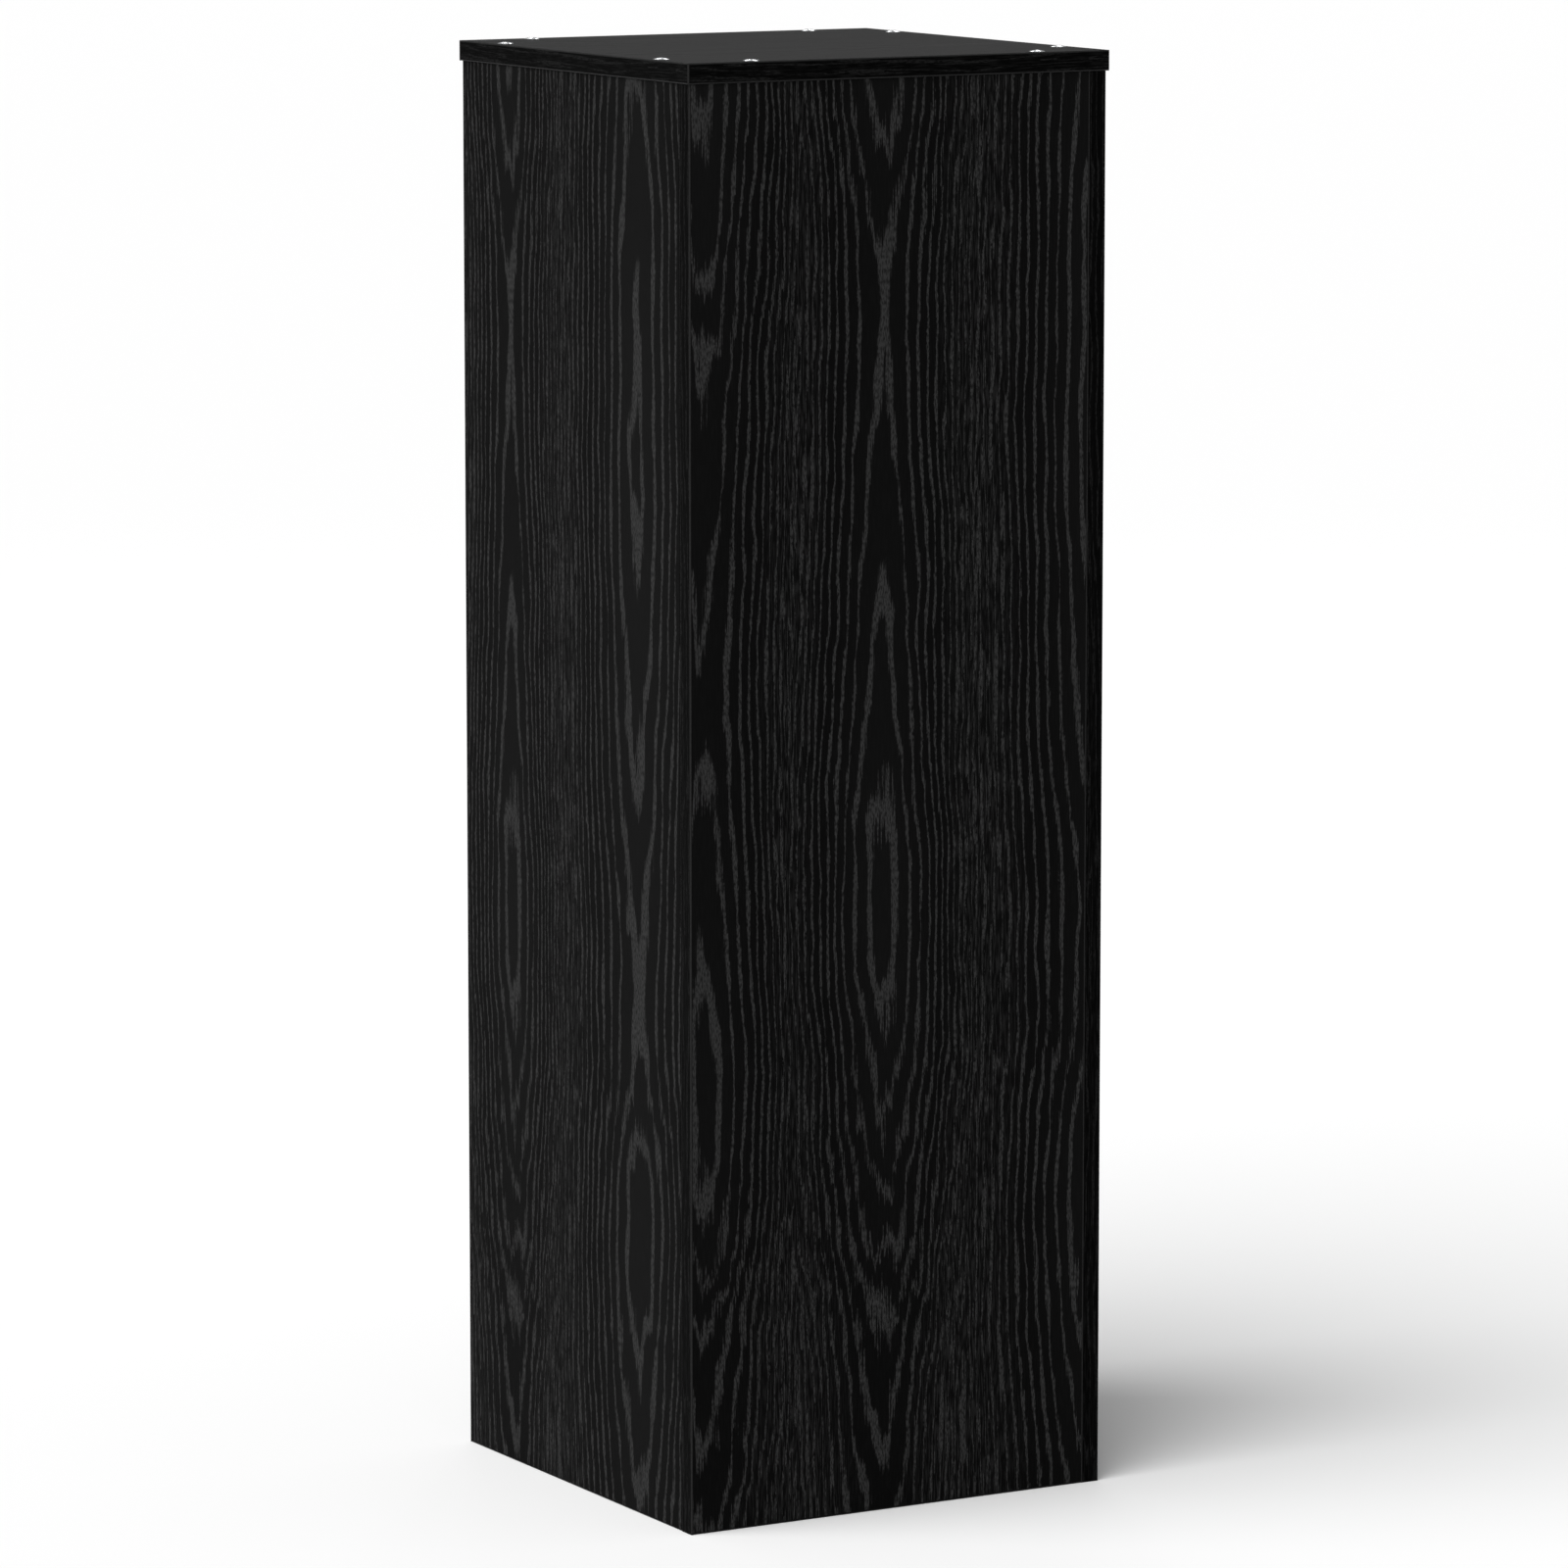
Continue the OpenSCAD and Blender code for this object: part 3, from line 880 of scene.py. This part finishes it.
def fluted_dowels(side):
    """The two dowels of one corner joint, on the places of their CAD solids."""
    low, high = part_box(f"dowels_{side}")
    size = high - low
    radius = min(size.x, size.y) / 2
    pattern = pin_mesh(radius, max(size.x, size.y))
    middle = (low + high) / 2
    lie_down = Matrix.Rotation(QUARTER, 4, "Y" if size.x > size.y else "X")
    bm = bmesh.new()
    for height in (low.z + radius, high.z - radius):
        copy_in(bm, pattern, Matrix.Translation((middle.x, middle.y, height)) @ lie_down)
    bpy.data.meshes.remove(pattern)
    return make_piece(bm, f"{side}_dowel_pins", [f"dowels_{side}"], [pale_beech])


pale_beech = beech()
for side in SIDES:
    pins = fluted_dowels(side)
print(pins.name, len(pins.data.polygons), "faces")

# %% [markdown]
# ## The studio
#
# A plain pale floor, a white room and one large, very soft sun. The sun stands to the left, so
# the left side comes out lighter than the front, and it is as wide as sixty degrees, so its
# shadow has no edge. The camera sees the room as pure white. The light that the room gives is
# lower, because black melamine shows every bit of it.

# %% Floor, room and sun
# Metres: the floor is wide enough to have no visible rim, and lies a hair under the foot.
FLOOR_RADIUS = 40.0
FLOOR_DROP = 0.1 * MM
# Blotches across the whole floor, so each is many metres wide.
FLOOR_MOTTLE = 3.0
ROOM_LIGHT = 0.34
SUN_STRENGTH = 3.2
SUN_WIDTH = math.radians(60)
TOWARDS_SUN = Vector((-0.60, -0.15, 0.78))


def floor_paint():
    """Matt pale paint with the faintest mottle."""
    material, tree = new_material("pale_floor")
    mottle = add(tree, "ShaderNodeTexNoise", {"Scale": FLOOR_MOTTLE, "Detail": 2.0})
    colour = add(tree, "ShaderNodeMix",
                 {"Factor": mottle, 6: from_hex("#f2f2f2"), 7: from_hex("#f6f6f6")},
                 data_type="RGBA")
    shader = add(tree, "ShaderNodeBsdfPrincipled",
                 {"Base Color": colour.outputs[2], "Roughness": 0.9, "IOR": 1.45})
    add(tree, "ShaderNodeOutputMaterial", {"Surface": shader})
    return material


bm = bmesh.new()
bmesh.ops.create_circle(bm, cap_ends=True, radius=FLOOR_RADIUS, segments=96)
bmesh.ops.translate(bm, vec=(0, 0, -FLOOR_DROP), verts=bm.verts)
floor_mesh = bpy.data.meshes.new("floor")
bm.to_mesh(floor_mesh)
bm.free()
floor_mesh.materials.append(floor_paint())
floor = bpy.data.objects.new("floor", floor_mesh)
bpy.context.scene.collection.objects.link(floor)

room = bpy.data.worlds.new("room")
room.use_nodes = True
room.node_tree.nodes.clear()
path = add(room.node_tree, "ShaderNodeLightPath")
strength = add(room.node_tree, "ShaderNodeMapRange",
               {"Value": path.outputs["Is Camera Ray"], "To Min": ROOM_LIGHT, "To Max": 1.0})
glow = add(room.node_tree, "ShaderNodeBackground",
           {"Color": (1, 1, 1, 1), "Strength": strength})
add(room.node_tree, "ShaderNodeOutputWorld", {"Surface": glow})
bpy.context.scene.world = room

sun_data = bpy.data.lights.new("wide_sun", "SUN")
sun_data.energy = SUN_STRENGTH
sun_data.angle = SUN_WIDTH


def place_light(data, position, direction):
    """Puts a light in the scene, shining back along a direction."""
    light = bpy.data.objects.new(data.name, data)
    light.location = position
    light.rotation_euler = direction.to_track_quat("Z", "Y").to_euler()
    bpy.context.scene.collection.objects.link(light)


place_light(sun_data, (0, 0, 3), TOWARDS_SUN)
print("sun", round(math.degrees(TOWARDS_SUN.angle(UP))), "degrees off the vertical")

# %% [markdown]
# The screw heads are small mirrors, and a mirror is only as bright as what it faces. Two small
# softboxes stand behind the plinth, on either side of the line from the camera, so each dome
# carries two bright points side by side. From there they hardly light the boards.

# %% Two softboxes for the screw heads
# Metres and watts, then degrees round from the right, and the rise of thirty degrees.
SOFTBOX_DISTANCE = 4.0
SOFTBOX_SIZE = 0.5
SOFTBOX_POWER = 3.5
SOFTBOX_AROUND = (54.0, 66.5)
SOFTBOX_RISE = Vector((0.866, 0, 0.5))
for number, around in enumerate(SOFTBOX_AROUND):
    box_data = bpy.data.lights.new(f"softbox_{number}", "AREA")
    box_data.shape = "SQUARE"
    box_data.size = SOFTBOX_SIZE
    box_data.energy = SOFTBOX_POWER
    aim = Matrix.Rotation(math.radians(around), 3, "Z") @ SOFTBOX_RISE
    place_light(box_data, Vector((0, 0, top_z)) + SOFTBOX_DISTANCE * aim, aim)
print("softboxes:", len(SOFTBOX_AROUND))

# %% [markdown]
# ## The camera
#
# A long lens nearly five metres away, a little above the plinth, so the top shows as a thin
# sliver and the near corner stands left of the middle. It looks down by a few degrees.

# %% Camera and tone
# Metres, then degrees, then the sensor and the lens in millimetres.
CAMERA_PLACE = (-2.3389, -4.1008, 1.1065)
CAMERA_DOWN = 8.372
CAMERA_AROUND = 29.721
camera_data = bpy.data.cameras.new("camera")
camera_data.sensor_width = 36
camera_data.lens = 184.24
camera_data.clip_end = 200
camera = bpy.data.objects.new("camera", camera_data)
camera.location = CAMERA_PLACE
camera.rotation_euler = (QUARTER - math.radians(CAMERA_DOWN), 0, -math.radians(CAMERA_AROUND))
bpy.context.scene.collection.objects.link(camera)
bpy.context.scene.camera = camera
bpy.context.scene.view_settings.view_transform = "Standard"
print("camera", round(camera.location.length, 2), "m from the foot of the plinth")
